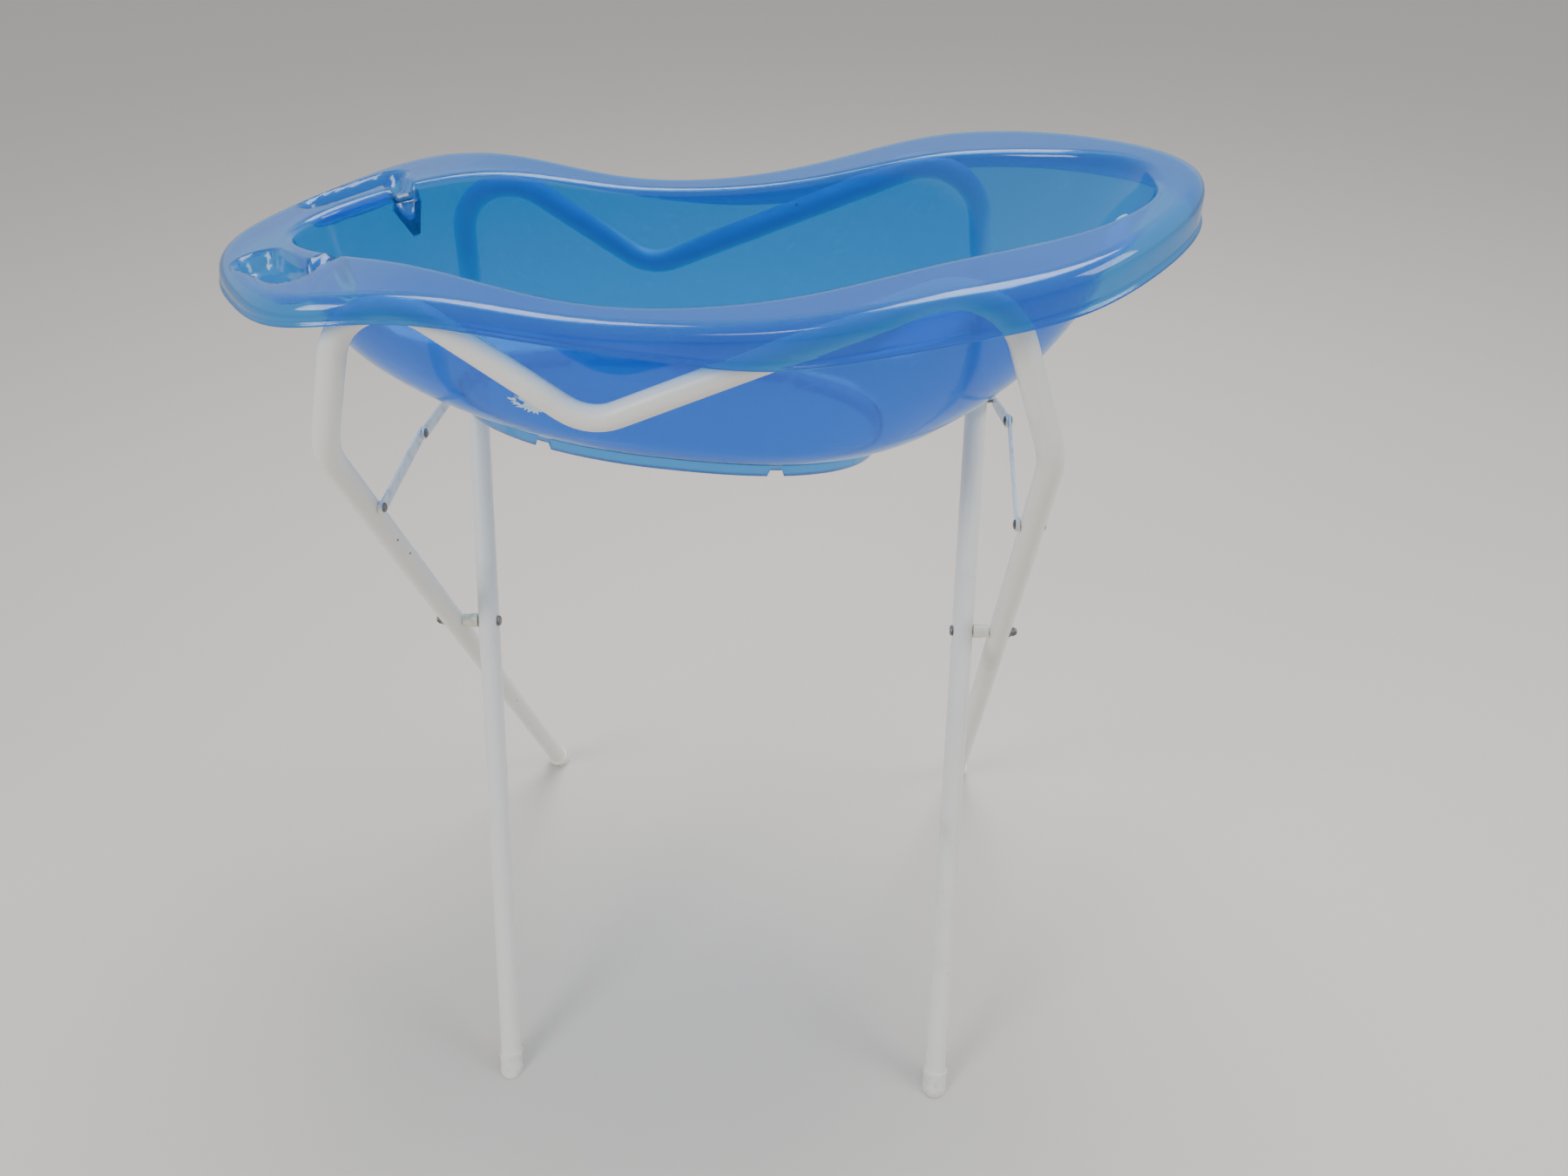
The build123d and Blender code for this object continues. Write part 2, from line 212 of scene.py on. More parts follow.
def lathe(
    name: str, centre: Vector, direction: float, profile: list[tuple[float, float]]
) -> bpy.types.Object:
    """Turns a profile about an axis along X.

    Args:
        name: The piece's name.
        centre: Where the profile's axis starts.
        direction: +1 or -1, the way the profile stands along X.
        profile: Radius and height pairs in millimetres, from the middle outwards.

    Returns:
        The turned piece.
    """
    steps = 40
    points = []
    for radius, height in profile:
        for step in range(steps):
            turn = direction * 2 * math.pi * step / steps
            offset = Vector((direction * height, radius * math.cos(turn), radius * math.sin(turn)))
            points.append(centre + offset * MM)
    return make_piece(name, points, ring_faces(steps, len(profile)))


class SmoothLine:
    """A natural cubic curve through given points."""

    def __init__(self, stations: list[float], values: list[float]) -> None:
        """Solves the curve's second derivatives at its points.

        Args:
            stations: Rising positions of the points.
            values: The curve's values there.
        """
        self.x = np.array(stations, float)
        self.y = np.array(values, float)
        gaps = np.diff(self.x)
        count = len(self.x)
        system = np.eye(count)
        right = np.zeros(count)
        for i in range(1, count - 1):
            system[i, i - 1 : i + 2] = (gaps[i - 1], 2 * (gaps[i - 1] + gaps[i]), gaps[i])
            rise = (self.y[i + 1] - self.y[i]) / gaps[i] - (self.y[i] - self.y[i - 1]) / gaps[i - 1]
            right[i] = 6 * rise
        self.bend = np.linalg.solve(system, right)

    def at(self, position: float) -> float:
        """Gives the curve's value at a position, held to its ends."""
        x = min(max(position, self.x[0]), self.x[-1])
        i = min(int(np.searchsorted(self.x, x, side="right")) - 1, len(self.x) - 2)
        gap = self.x[i + 1] - self.x[i]
        a = (self.x[i + 1] - x) / gap
        b = 1 - a
        curve = ((a**3 - a) * self.bend[i] + (b**3 - b) * self.bend[i + 1]) * gap * gap / 6
        return a * self.y[i] + b * self.y[i + 1] + curve


# ---------------------------------------------------------------- finishes


@dataclass(frozen=True)
class Finish:
    """A surface as a Principled shader, with its own detail added by each kind."""

    name: str
    colour: str
    roughness: float
    metallic: float = 0.0
    ior: float = 1.5

    def build(self) -> bpy.types.Material:
        """Makes the material.

        Returns:
            The finished material.
        """
        material = bpy.data.materials.new(self.name)
        material.use_nodes = True
        tree = material.node_tree
        shader = tree.nodes["Principled BSDF"]
        shader.inputs["Base Color"].default_value = linear(self.colour)
        shader.inputs["Roughness"].default_value = self.roughness
        shader.inputs["Metallic"].default_value = self.metallic
        shader.inputs["IOR"].default_value = self.ior
        place = add_node(tree, "ShaderNodeTexCoord").outputs["Object"]
        self.detail(tree, shader, place)
        return material

    def detail(
        self, tree: bpy.types.NodeTree, shader: bpy.types.Node, place: bpy.types.NodeSocket
    ) -> None:
        """Adds what makes this finish its own; a plain finish adds nothing."""

    def noise(
        self, tree: bpy.types.NodeTree, place: bpy.types.NodeSocket, size_mm: float, octaves: float = 3.0
    ) -> bpy.types.NodeSocket:
        """Gives cloudy noise of a real size.

        Args:
            tree: The material's node tree.
            place: Coordinates in metres.
            size_mm: Size of the noise's blobs.
            octaves: How much finer detail it has.

        Returns:
            The noise's value.
        """
        made = add_node(
            tree, "ShaderNodeTexNoise", None, {"Vector": place, "Scale": per_mm(size_mm), "Detail": octaves}
        )
        return made.outputs["Fac"]

    def mixed(
        self,
        tree: bpy.types.NodeTree,
        share: bpy.types.NodeSocket,
        first: Any,
        second: Any,
    ) -> bpy.types.NodeSocket:
        """Mixes two colours by a share.

        Args:
            tree: The material's node tree.
            share: Nought for the first colour, one for the second.
            first: A colour or a colour socket.
            second: A colour or a colour socket.

        Returns:
            The mixed colour.
        """
        made = add_node(tree, "ShaderNodeMix", {"data_type": "RGBA"}, {0: share, 6: first, 7: second})
        return made.outputs[2]


@dataclass(frozen=True)
class TintedPolypropylene(Finish):
    """Tinted clear polypropylene, injection moulded and polished: light passes, walls glow at their edges."""

    clear_share: float = 0.86
    scratch_spacing_mm: float = 9.0
    wave_mm: float = 60.0

    def detail(
        self, tree: bpy.types.NodeTree, shader: bpy.types.Node, place: bpy.types.NodeSocket
    ) -> None:
        """Adds the see-through body, use scratches and the slow waves of moulding.

        Args:
            tree: The material's node tree.
            shader: The Principled shader.
            place: Coordinates in metres.
        """
        shader.inputs["Transmission Weight"].default_value = self.clear_share
        # fine rubbing marks from use: long thin streaks that dull the gloss
        stretched = add_node(
            tree,
            "ShaderNodeMapping",
            None,
            {"Vector": place, "Rotation": (0.5, 0.3, 0.7), "Scale": (1.0, 9.0, 1.0)},
        )
        streaks = self.noise(tree, stretched.outputs["Vector"], self.scratch_spacing_mm, 6.0)
        clouds = self.noise(tree, place, self.wave_mm, 2.0)
        worn = add_ramp(tree, streaks, 0.56, 0.72)
        rough = add_node(
            tree,
            "ShaderNodeMapRange",
            None,
            {"Value": worn, "To Min": self.roughness, "To Max": self.roughness + 0.2},
        )
        tree.links.new(rough.outputs["Result"], shader.inputs["Roughness"])
        bump = add_node(
            tree, "ShaderNodeBump", None, {"Strength": 0.25, "Distance": 0.0012, "Height": clouds}
        )
        tree.links.new(bump.outputs["Normal"], shader.inputs["Normal"])


@dataclass(frozen=True)
class PowderCoat(Finish):
    """Polyester powder coat baked on steel: satin, with a slight orange peel, chips and grime."""

    chip_spacing_mm: float = 17.0
    chip_colour: str = "#3A3430"
    grime_colour: str = "#A79F8E"

    def detail(
        self, tree: bpy.types.NodeTree, shader: bpy.types.Node, place: bpy.types.NodeSocket
    ) -> None:
        """Adds chips, scuffs, grime and the peel of the coat.

        Args:
            tree: The material's node tree.
            shader: The Principled shader.
            place: Coordinates in metres.
        """
        base = linear(self.colour)
        grime = add_ramp(tree, self.noise(tree, place, 70.0, 5.0), 0.52, 0.82)
        aged = self.mixed(tree, grime, base, linear(self.grime_colour))
        softer = self.mixed(tree, add_ramp(tree, grime, 0.0, 2.2), base, aged)
        spots = add_node(
            tree, "ShaderNodeTexVoronoi", None, {"Vector": place, "Scale": per_mm(self.chip_spacing_mm)}
        )
        # a chip shows where a cell's middle falls near the surface and a slow noise allows it
        uneven = add_node(
            tree,
            "ShaderNodeMath",
            {"operation": "MULTIPLY_ADD"},
            {0: self.noise(tree, place, 1.6, 4.0), 1: 0.16, 2: spots.outputs["Distance"]},
        )
        near = add_ramp(tree, uneven.outputs["Value"], 0.165, 0.15)
        allowed = add_ramp(tree, self.noise(tree, place, 90.0, 2.0), 0.57, 0.6)
        both = add_node(tree, "ShaderNodeMath", {"operation": "MULTIPLY"}, {0: near, 1: allowed})
        chipped = self.mixed(tree, both.outputs["Value"], softer, linear(self.chip_colour))
        tree.links.new(chipped, shader.inputs["Base Color"])
        peel = self.noise(tree, place, 2.2, 2.0)
        dent = add_node(tree, "ShaderNodeMath", {"operation": "SUBTRACT"}, {0: peel, 1: both.outputs["Value"]})
        bump = add_node(
            tree,
            "ShaderNodeBump",
            None,
            {"Strength": 0.12, "Distance": 0.0003, "Height": dent.outputs["Value"]},
        )
        tree.links.new(bump.outputs["Normal"], shader.inputs["Normal"])


@dataclass(frozen=True)
class MouldedPlastic(Finish):
    """Solid coloured moulded plastic, such as nylon or polyethylene: soft sheen and faint dirt."""

    dirt_colour: str = "#9C9484"
    dirt_mm: float = 12.0
    glow: float = 0.15

    def detail(
        self, tree: bpy.types.NodeTree, shader: bpy.types.Node, place: bpy.types.NodeSocket
    ) -> None:
        """Adds dirt in its pores and light scattered below the surface.

        Args:
            tree: The material's node tree.
            shader: The Principled shader.
            place: Coordinates in metres.
        """
        shader.inputs["Subsurface Weight"].default_value = self.glow
        shader.inputs["Subsurface Scale"].default_value = 0.002
        dirt = add_ramp(tree, self.noise(tree, place, self.dirt_mm, 5.0), 0.5, 0.95)
        tree.links.new(
            self.mixed(tree, dirt, linear(self.colour), linear(self.dirt_colour)), shader.inputs["Base Color"]
        )
        bump = add_node(
            tree,
            "ShaderNodeBump",
            None,
            {"Strength": 0.1, "Distance": 0.0002, "Height": self.noise(tree, place, 0.8, 2.0)},
        )
        tree.links.new(bump.outputs["Normal"], shader.inputs["Normal"])


@dataclass(frozen=True)
class ZincPlate(Finish):
    """Zinc plated steel, pressed or cold headed: metallic, cloudy, with dull patches."""

    dull_colour: str = "#55524E"
    patch_mm: float = 5.0

    def detail(
        self, tree: bpy.types.NodeTree, shader: bpy.types.Node, place: bpy.types.NodeSocket
    ) -> None:
        """Adds the plating's clouds and small tool marks.

        Args:
            tree: The material's node tree.
            shader: The Principled shader.
            place: Coordinates in metres.
        """
        clouds = self.noise(tree, place, self.patch_mm, 4.0)
        dull = add_ramp(tree, clouds, 0.42, 0.8)
        tree.links.new(
            self.mixed(tree, dull, linear(self.colour), linear(self.dull_colour)), shader.inputs["Base Color"]
        )
        rough = add_node(
            tree,
            "ShaderNodeMapRange",
            None,
            {"Value": clouds, "To Min": self.roughness, "To Max": self.roughness + 0.25},
        )
        tree.links.new(rough.outputs["Result"], shader.inputs["Roughness"])


@dataclass(frozen=True)
class WornFilm(Finish):
    """Printed polymer film, glued on: satin, rubbed through to the plastic in places."""

    left_share: float = 0.55
    wear_mm: float = 7.0

    def detail(
        self, tree: bpy.types.NodeTree, shader: bpy.types.Node, place: bpy.types.NodeSocket
    ) -> None:
        """Adds the holes that rubbing leaves.

        Args:
            tree: The material's node tree.
            shader: The Principled shader.
            place: Coordinates in metres.
        """
        wear = self.noise(tree, place, self.wear_mm, 6.0)
        left = add_ramp(tree, wear, 0.5 - self.left_share / 4, 0.56 - self.left_share / 4)
        tree.links.new(left, shader.inputs["Alpha"])


TUB_PLASTIC = TintedPolypropylene("tinted_polypropylene_moulded", "#3FA5F3", 0.07, ior=1.49)
FRAME_COAT = PowderCoat("polyester_powder_coat_baked", "#ECEAE3", 0.34)
CAP_PLASTIC = MouldedPlastic("polyethylene_cap_moulded", "#EAE8E0", 0.42, dirt_colour="#B3AB9B")
NYLON = MouldedPlastic("natural_nylon_moulded", "#EAE4D2", 0.4)
FASTENER_STEEL = ZincPlate("dark_zinc_cold_headed_steel", "#8C8A86", 0.34, 1.0)
LINK_STEEL = MouldedPlastic("white_enamel_pressed_steel", "#E3EAEC", 0.3, dirt_colour="#8C9094", glow=0.0)
STICKER_FILM = WornFilm("printed_vinyl_film", "#9CCBF2", 0.3, left_share=1.6)
LABEL_FILM = WornFilm("rubbed_paper_label", "#C7DDEB", 0.6, left_share=0.7, wear_mm=9.0)


def dress(piece: bpy.types.Object, material: bpy.types.Material) -> None:
    """Puts one material on every slot of a piece."""
    if not piece.data.materials:
        piece.data.materials.append(material)
    for number in range(len(piece.data.materials)):
        piece.data.materials[number] = material


# ---------------------------------------------------------------- the tub


@dataclass
class Tub:
    """The moulded tub: bowl, rim, hanging lip, soap dishes and base skirt. Sizes are in millimetres."""

    wall: float = 3.0
    base_slope: float = 6.3
    base_z: float = 705.0
    base_ends: tuple[float, float] = (-232.0, 165.0)
    base_half_width: float = 100.0
    foot_half_width: float = 180.0
    waist_half_width: float = 178.0
    head_half_width: float = 198.0
    opening_round: float = 7.0
    lip_round: float = 14.0
    lip_flare: float = 2.0
    lip_drops: tuple[float, float] = (20.0, 36.0)
    dish_size: tuple[float, float, float] = (96.0, 34.0, 17.0)
    dish_spot: tuple[float, float] = (-330.0, 92.0)
    dish_turn: float = 42.0
    spout_size: tuple[float, float] = (16.0, 11.0)
    skirt_height: float = 15.0
    notch_size: tuple[float, float] = (14.0, 6.0)
    notch_inset: float = 95.0
    skirt_inset: float = 4.0
    skirt_taper: float = 2.0
    skirt_wall: float = 2.6
    foot_fullness: float = 2.0
    head_fullness: float = 2.5
    rim_crown: float = 1.6
    dish_edge: float = 7.0
    spout_edge: float = 5.0
    columns: int = 480
    crest: SmoothLine = field(init=False)
    levels: tuple[SmoothLine, SmoothLine, SmoothLine] = field(init=False)
    outline: np.ndarray = field(init=False)

    def __post_init__(self) -> None:
        """Works out the crest line, the bowl's sides and the lip's outline."""
        low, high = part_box("tub_shell")
        length = (high.x - low.x) / MM
        self.crest = SmoothLine(
            [-480, -421, -300, -207, -100, 0, 100, 205, 300, 421, 480],
            [858, 865, 881, 886, 868, 863, 874, 896.5, 908, 926, 934],
        )
        heights = [0, 12, 40, 80, 130, 190, 290]
        first, last = self.base_ends
        foot_spread = [0, 38, 94, 122, 134, 143, 155]
        head_spread = [0, 26, 68, 109, 141, 166, 201]
        side_spread = [0, 9, 19, 27, 34, 41, 50]
        self.levels = (
            SmoothLine(heights, [first - s for s in foot_spread]),
            SmoothLine(heights, [last + s for s in head_spread]),
            SmoothLine(heights, [self.base_half_width + s for s in side_spread]),
        )
        shares = [
            (-0.5, 0.0),
            (-0.433, 0.66 * self.foot_half_width),
            (-0.354, 0.98 * self.foot_half_width),
            (-0.25, self.foot_half_width),
            (0.0, self.waist_half_width),
            (0.25, self.head_half_width),
            (0.354, 0.88 * self.head_half_width),
            (0.433, 0.60 * self.head_half_width),
            (0.5, 0.0),
        ]
        side = [(share * length, width) for share, width in shares]
        loop = side + [(x, -y) for x, y in reversed(side[1:-1])]
        self.outline = self.closed_curve(loop, 1440)

    @staticmethod
    def closed_curve(corners: list[tuple[float, float]], count: int) -> np.ndarray:
        """Draws a smooth closed curve through points.

        Args:
            corners: The points in order.
            count: How many points the result has.

        Returns:
            An array of count points.
        """
        wrapped = corners[-4:] + corners + corners[:5]
        steps = [0.0]
        for before, after in zip(wrapped, wrapped[1:]):
            steps.append(steps[-1] + math.dist(before, after))
        across = SmoothLine(steps, [x for x, _ in wrapped])
        along = SmoothLine(steps, [y for _, y in wrapped])
        spots = np.linspace(steps[4], steps[4 + len(corners)], count, endpoint=False)
        return np.array([(across.at(s), along.at(s)) for s in spots])

    def bowl_point(self, turn: float, height: float, inset: float) -> Vector:
        """Gives a point of the bowl's wall.

        Args:
            turn: Angle round the bowl in radians, nought at the head end.
            height: Height over the base seam, square to the base.
            inset: How far inside the outer wall.

        Returns:
            The point in millimetres.
        """
        start = self.levels[0].at(height) + inset
        end = self.levels[1].at(height) - inset
        half = self.levels[2].at(height) - inset
        across, along = math.sin(turn), math.cos(turn)
        fullness = self.head_fullness if along > 0 else self.foot_fullness
        x = (start + end) / 2 + (end - start) / 2 * math.copysign(abs(along) ** (2 / fullness), along)
        y = half * math.copysign(abs(across) ** (2 / fullness), across)
        slope = math.radians(self.base_slope)
        return Vector(
            (
                x * math.cos(slope) + height * math.sin(slope),
                y,
                self.base_z - x * math.sin(slope) + height * math.cos(slope),
            )
        )

    def wall_top(self, turn: float) -> float:
        """Gives the height over the base where the inner wall meets the opening's rounding."""
        height = 160.0
        for _ in range(12):
            spot = self.bowl_point(turn, height, self.wall)
            height += self.crest.at(spot.x) - self.opening_round - spot.z
        return height

    def lip_point(self, start: Vector, outward: Vector) -> Vector:
        """Finds where a line from the opening meets the lip's outline.

        Args:
            start: A point on the opening's edge.
            outward: The line's flat direction.

        Returns:
            The point on the outline.
        """
        before = self.outline
        after = np.roll(before, -1, axis=0)
        edge = after - before
        gap = before - np.array((start.x, start.y))
        cross = outward.x * edge[:, 1] - outward.y * edge[:, 0]
        cross = np.where(np.abs(cross) < 1e-9, 1e-9, cross)
        reach = (gap[:, 0] * edge[:, 1] - gap[:, 1] * edge[:, 0]) / cross
        share = (gap[:, 0] * outward.y - gap[:, 1] * outward.x) / cross
        hits = reach[(share >= 0) & (share <= 1) & (reach > 0)]
        return start + outward * float(hits.min())

    def sunk(self, spot: Vector) -> Vector:
        """Presses a point of the rim down where a soap dish or its spout lies."""
        level = self.crest.at(spot.x)
        length, width, depth = self.dish_size
        spout_width, spout_depth = self.spout_size
        lowest = spot.z
        for side in (-1, 1):
            turn = math.radians(side * self.dish_turn)
            dx, dy = spot.x - self.dish_spot[0], spot.y - side * self.dish_spot[1]
            along = dx * math.cos(turn) + dy * math.sin(turn)
            across = -dx * math.sin(turn) + dy * math.cos(turn)
            run = max(abs(along) - (length - width) / 2, 0.0)
            edge = width / 2 - math.hypot(run, across)
            lowest = min(lowest, level - depth * self.eased(edge / self.dish_edge + 0.5))
            spout_along = spout_width / 2 - abs(along - (length - width) / 2)
            spout_across = min(-side * across, width * 1.5 + side * across)
            channel = self.eased(spout_along / self.spout_edge + 0.5)
            channel *= self.eased(spout_across / self.spout_edge + 0.5)
            lowest = min(lowest, level - spout_depth * channel if channel > 0 else lowest)
        return Vector((spot.x, spot.y, lowest))

    @staticmethod
    def eased(share: float) -> float:
        """Eases a share between nought and one."""
        held = min(max(share, 0.0), 1.0)
        return held * held * (3 - 2 * held)

    def section(self, turn: float) -> list[Vector]:
        """Gives one section of the tub's upper skin, from the floor's edge to the lip's edge.

        Args:
            turn: Angle round the bowl in radians.

        Returns:
            Points in millimetres.
        """
        top = self.wall_top(turn)
        wall_rows = 30
        points = []
        for row in range(wall_rows + 1):
            share = (row / wall_rows) ** 1.35
            points.append(self.bowl_point(turn, self.wall + (top - self.wall) * share, self.wall))
        start = points[-1].copy()
        ahead = self.bowl_point(turn + 0.01, top, self.wall)
        behind = self.bowl_point(turn - 0.01, top, self.wall)
        tangent = ahead - behind
        outward = Vector((tangent.y, -tangent.x, 0)).normalized()
        start.z = 0
        reach = (self.lip_point(start, outward) - start).length
        share = self.eased((start.x + 100) / 200)
        drop = self.lip_drops[0] + (self.lip_drops[1] - self.lip_drops[0]) * share
        steps = []
        for part in range(1, 6):
            angle = math.pi / 2 * part / 5
            across = self.opening_round * (1 - math.cos(angle))
            steps.append((across, -self.opening_round * (1 - math.sin(angle))))
        flat_end = reach - self.lip_flare - self.lip_round
        for part in range(1, 21):
            inward = part / 20
            crown = self.rim_crown * math.sin(math.pi * inward)
            steps.append((self.opening_round + (flat_end - self.opening_round) * inward, crown))
        for part in range(1, 8):
            angle = math.pi / 2 * part / 7
            across = flat_end + self.lip_round * math.sin(angle)
            steps.append((across, -self.lip_round * (1 - math.cos(angle))))
        side = reach - self.lip_flare
        for part in range(1, 5):
            steps.append((side, -self.lip_round - (drop - 3 - self.lip_round) * part / 4))
        steps += [(side + 0.9, 2.4 - drop), (side + 1.7, 1.2 - drop), (side + self.lip_flare, -drop)]
        for across, rise in steps:
            spot = start + outward * across
            points.append(self.sunk(Vector((spot.x, spot.y, self.crest.at(spot.x) + rise))))
        return points

    def build_shell(self) -> bpy.types.Object:
        """Builds the bowl, rim and lip as one moulded skin of even wall.

        Returns:
            The shell.
        """
        sections = [self.section(2 * math.pi * c / self.columns) for c in range(self.columns)]
        floor_rings = 14
        middle = sum((s[0] for s in sections), Vector()) / self.columns
        points = [middle * MM]
        for ring in range(1, floor_rings):
            points += [(middle + (s[0] - middle) * ring / floor_rings) * MM for s in sections]
        for row in range(len(sections[0])):
            points += [s[row] * MM for s in sections]
        faces = [(0, 1 + c, 1 + (c + 1) % self.columns) for c in range(self.columns)]
        faces += ring_faces(self.columns, floor_rings - 1 + len(sections[0]), 1)
        shell = make_piece("tub_moulding", points, faces)
        skin = shell.modifiers.new("wall", "SOLIDIFY")
        skin.thickness = self.wall * MM
        skin.offset = -1
        skin.use_even_offset = True
        return shell

    def build_skirt(self) -> bpy.types.Object:
        """Builds the standing skirt under the bowl, with its drain notches.

        Returns:
            The skirt.
        """
        notch_width, notch_height = self.notch_size
        rows = 5
        points = []
        for row in range(rows + 1):
            for column in range(self.columns):
                turn = 2 * math.pi * column / self.columns
                top = self.bowl_point(turn, 1.0, self.skirt_inset)
                bottom = self.bowl_point(turn, 0.0, self.skirt_inset + self.skirt_taper)
                local = bottom.x / math.cos(math.radians(self.base_slope))
                first, last = self.base_ends
                spots = (first + self.notch_inset, last - self.notch_inset)
                notched = min(abs(local - spot) for spot in spots) < notch_width / 2
                depth = self.skirt_height - (notch_height if notched else 0)
                slope = math.radians(self.base_slope)
                bottom -= Vector((math.sin(slope), 0, math.cos(slope))) * depth
                points.append((bottom + (top - bottom) * row / rows) * MM)
        skirt = make_piece("tub_base_skirt", points, ring_faces(self.columns, rows + 1))
        skin = skirt.modifiers.new("wall", "SOLIDIFY")
        skin.thickness = self.skirt_wall * MM
        skin.offset = 1
        return skirt

    def wall_point(self, height: float, spot: float, inset: float, at_head: bool) -> Vector:
        """Gives a point of the bowl's wall by its height and one flat coordinate.

        Args:
            height: Height over the base seam, square to the base.
            spot: Y of a point of the head end wall, or X along the base of one of the front wall.
            inset: How far inside the outer wall.
            at_head: Whether the point is on the head end wall, and not on the front wall.

        Returns:
            The point in millimetres.
        """
        start = self.levels[0].at(height) + inset
        end = self.levels[1].at(height) - inset
        half = self.levels[2].at(height) - inset
        middle, reach = (start + end) / 2, (end - start) / 2
        if at_head:
            fullness = self.head_fullness
            x, y = middle + reach * (1 - abs(spot / half) ** fullness) ** (1 / fullness), spot
        else:
            x, y = spot, -half * math.sqrt(1 - ((spot - middle) / reach) ** 2)
        slope = math.radians(self.base_slope)
        rise = self.base_z - x * math.sin(slope) + height * math.cos(slope)
        return Vector((x * math.cos(slope) + height * math.sin(slope), y, rise))

    def build_patch(
        self, name: str, centre: tuple[float, float], spread: tuple[float, float], inset: float, ragged: float
    ) -> bpy.types.Object:
        """Builds a thin patch that follows the bowl's wall.

        Args:
            name: The piece's name.
            centre: Flat coordinate and height over the base of its middle.
            spread: Half sizes in millimetres.
            inset: Where it lies, inside the outer wall; outside it for a negative inset.
            ragged: How uneven its edge is, from nought.

        Returns:
            The patch.
        """
        draw = random.Random(7)
        columns, rings = 72, 9
        wobble = [1 - ragged * draw.random() for _ in range(columns)]
        points = []
        for ring in range(rings):
            for column in range(columns):
                angle = 2 * math.pi * column / columns
                size = (ring + 0.02) / (rings - 1 + 0.02) * wobble[column]
                spot = centre[0] + spread[0] * size * math.cos(angle)
                height = centre[1] + spread[1] * size * math.sin(angle)
                points.append(self.wall_point(height, spot, inset, inset > 0) * MM)
        return make_piece(name, points, ring_faces(columns, rings))

    def build(self) -> None:
        """Builds and dresses every piece of the tub."""
        plastic = TUB_PLASTIC.build()
        shell = self.build_shell()
        skirt = self.build_skirt()
        for piece in (shell, skirt):
            dress(piece, plastic)
            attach(piece, Body.TUB.value)
        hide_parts("tub_shell")
        sticker = self.build_patch("oval_film", (-2.0, 203.0), (24.0, 15.0), self.wall + 0.6, 0.0)
        dress(sticker, STICKER_FILM.build())
        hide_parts("oval_sticker")
        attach(sticker, Body.TUB.value)
        label = self.build_patch("worn_paper", (-136.0, 47.0), (23.0, 11.0), -0.5, 0.45)
        dress(label, LABEL_FILM.build())
        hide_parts("worn_label")
        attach(label, Body.TUB.value)
        LOG.info("tub: moulding, skirt, sticker and label")


# ---------------------------------------------------------------- the stand


@dataclass
class Stand:
    """The folding stand: its CAD pieces with their finishes, and the small turned details."""

    rivet_hollow: float = 1.5
    rivet_rim: float = 2.3

    def dress_nodes(self, nodes: dict[str, bpy.types.Object]) -> None:
        """Gives every CAD piece of the stand its finish.

        Args:
            nodes: The CAD nodes by name.
        """
        coat, cap, nylon = FRAME_COAT.build(), CAP_PLASTIC.build(), NYLON.build()
        steel, link = FASTENER_STEEL.build(), LINK_STEEL.build()
        groups = {
            "outer_frame": coat,
            "inner_frame": coat,
            "cap_": cap,
            "pivot_bush": nylon,
            "stay_washer": nylon,
            "pivot_bolt": steel,
            "pivot_washer": steel,
            "pivot_nut": steel,
            "stay_leg_rivet": steel,
            "stay_mid_rivet": steel,
            "stay_back_rivet": steel,
            "stay_lower": link,
            "stay_upper": link,
        }
        for name, piece in nodes.items():
            for start, material in groups.items():
                if name.startswith(start):
                    dress(piece, material)
        LOG.info("stand: %d CAD pieces dressed", len(nodes))

    def add_rivet_rims(self) -> None:
        """Adds the rolled rim and hollow middle to the clenched heads of the leg and middle stay rivets."""
        steel = FASTENER_STEEL.build()
        for end in ("foot_end", "head_end"):
            for kind, body in (("leg", Body.OUTER_FRAME.value), ("mid", f"stay_lower_{end}")):
                low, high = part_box(f"stay_{kind}_rivet_{end}")
                middle = (low + high) / 2
                for side, x in ((-1, low.x), (1, high.x)):
                    profile = [
                        (0.1, -0.6),
                        (self.rivet_hollow * 0.8, -0.55),
                        (self.rivet_hollow, 0.1),
                        (self.rivet_hollow + 0.4, 0.35),
                        (self.rivet_rim, 0.2),
                        (self.rivet_rim + 0.3, -0.3),
                    ]
                    name = f"rivet_rim_{kind}_{end}_{'in' if side < 0 else 'out'}"
                    rim = lathe(name, Vector((x, middle.y, middle.z)), side, profile)
                    dress(rim, steel)
                    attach(rim, body)
        LOG.info("stand: rivet rims")


# ---------------------------------------------------------------- studio


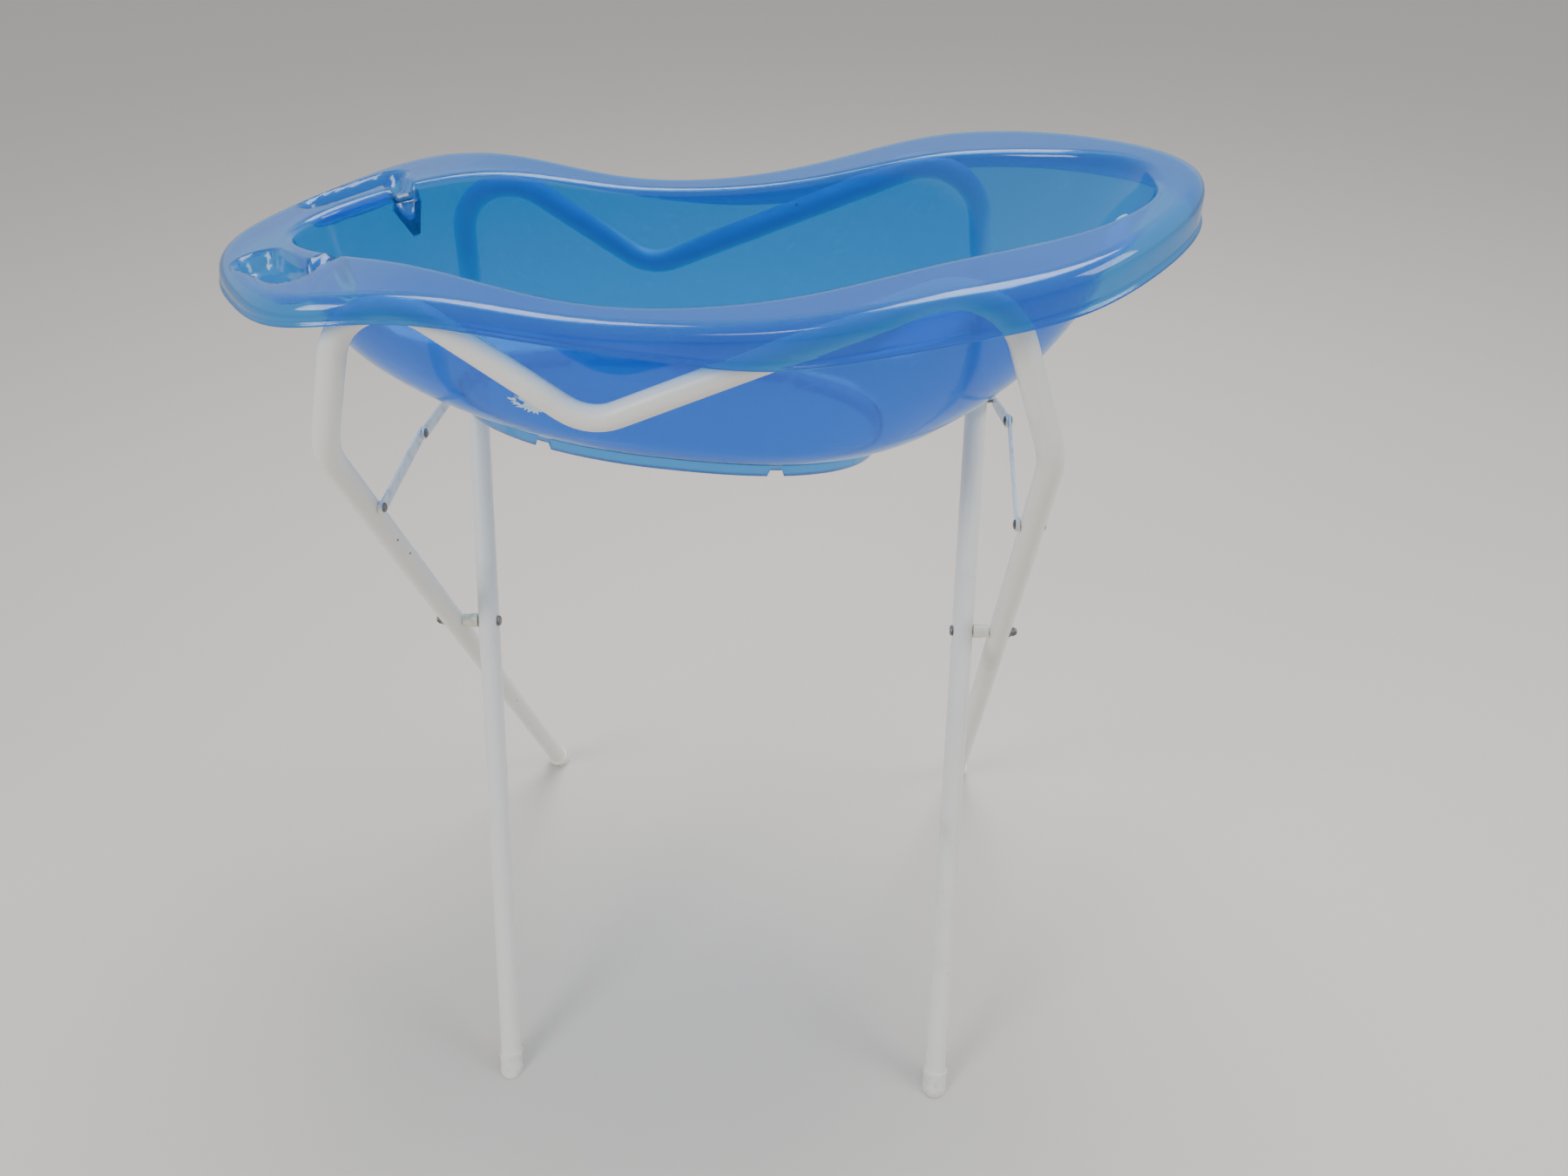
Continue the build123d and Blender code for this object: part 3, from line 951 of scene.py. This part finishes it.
@dataclass
class Studio:
    """The plain floor, the soft lights and the camera."""

    floor_half: float = 20.0
    floor_colour: str = "#C9C4BC"
    eye: tuple[float, float, float] = (0.1449, -1.0042, 1.24)
    aim: tuple[float, float, float] = (0.0691, -0.0414, 0.5278)
    roll_degrees: float = -1.55
    lens_mm: float = 28.0

    def build_floor(self) -> None:
        """Lays a plain pale floor under the feet."""
        low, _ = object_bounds()
        half = self.floor_half
        flat = ((-half, -half), (half, -half), (half, half), (-half, half))
        corners = [Vector((x, y, low[2])) for x, y in flat]
        floor = make_piece("floor", corners, [(0, 1, 2, 3)])
        dress(floor, Finish("matt_floor_paint", self.floor_colour, 0.7).build())
        floor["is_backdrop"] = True

    def add_light(self, name: str, place: tuple[float, float, float], size: float, power: float) -> None:
        """Hangs one square soft light that faces the object.

        Args:
            name: The light's name.
            place: Where it hangs, in metres.
            size: Its side in metres.
            power: Its power in watts.
        """
        data = bpy.data.lights.new(name, "AREA")
        data.size = size
        data.energy = power
        light = bpy.data.objects.new(name, data)
        light.location = place
        aim = Vector((0.0, 0.0, 0.6)) - Vector(place)
        light.rotation_euler = aim.to_track_quat("-Z", "Y").to_euler()
        bpy.context.scene.collection.objects.link(light)

    def build_lights(self) -> None:
        """Sets the sky's fill and three soft lights."""
        world = bpy.data.worlds.new("soft_sky")
        world.use_nodes = True
        sky = world.node_tree.nodes["Background"]
        sky.inputs["Color"].default_value = linear("#DADDE2")
        sky.inputs["Strength"].default_value = 0.9
        bpy.context.scene.world = world
        self.add_light("ceiling", (0.3, 0.6, 2.9), 1.6, 75.0)
        self.add_light("front_left", (-1.9, -1.8, 2.4), 1.2, 40.0)
        self.add_light("right", (2.2, -0.4, 2.0), 1.0, 18.0)

    def build_camera(self) -> None:
        """Sets the camera at the viewing angle."""
        data = bpy.data.cameras.new("view")
        data.lens = self.lens_mm
        data.sensor_width = 36.0
        camera = bpy.data.objects.new("view", data)
        forward = (Vector(self.aim) - Vector(self.eye)).normalized()
        level = forward.cross(Vector((0, 0, 1))).normalized()
        raised = level.cross(forward)
        roll = math.radians(self.roll_degrees)
        right = level * math.cos(roll) + raised * math.sin(roll)
        up = right.cross(forward)
        turned = Matrix((right, up, -forward)).transposed().to_4x4()
        camera.matrix_world = Matrix.Translation(Vector(self.eye)) @ turned
        bpy.context.scene.collection.objects.link(camera)
        bpy.context.scene.camera = camera

    def build(self) -> None:
        """Builds the floor, lights and camera."""
        self.build_floor()
        self.build_lights()
        self.build_camera()
        LOG.info("studio: floor, lights and camera")


def main() -> None:
    """Builds every piece in order."""
    logging.basicConfig(level=logging.INFO, format="%(name)s: %(message)s")
    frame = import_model()
    stand = Stand()
    stand.dress_nodes(frame["nodes"])
    stand.add_rivet_rims()
    Tub().build()
    Studio().build()


if __name__ == "__main__":
    main()
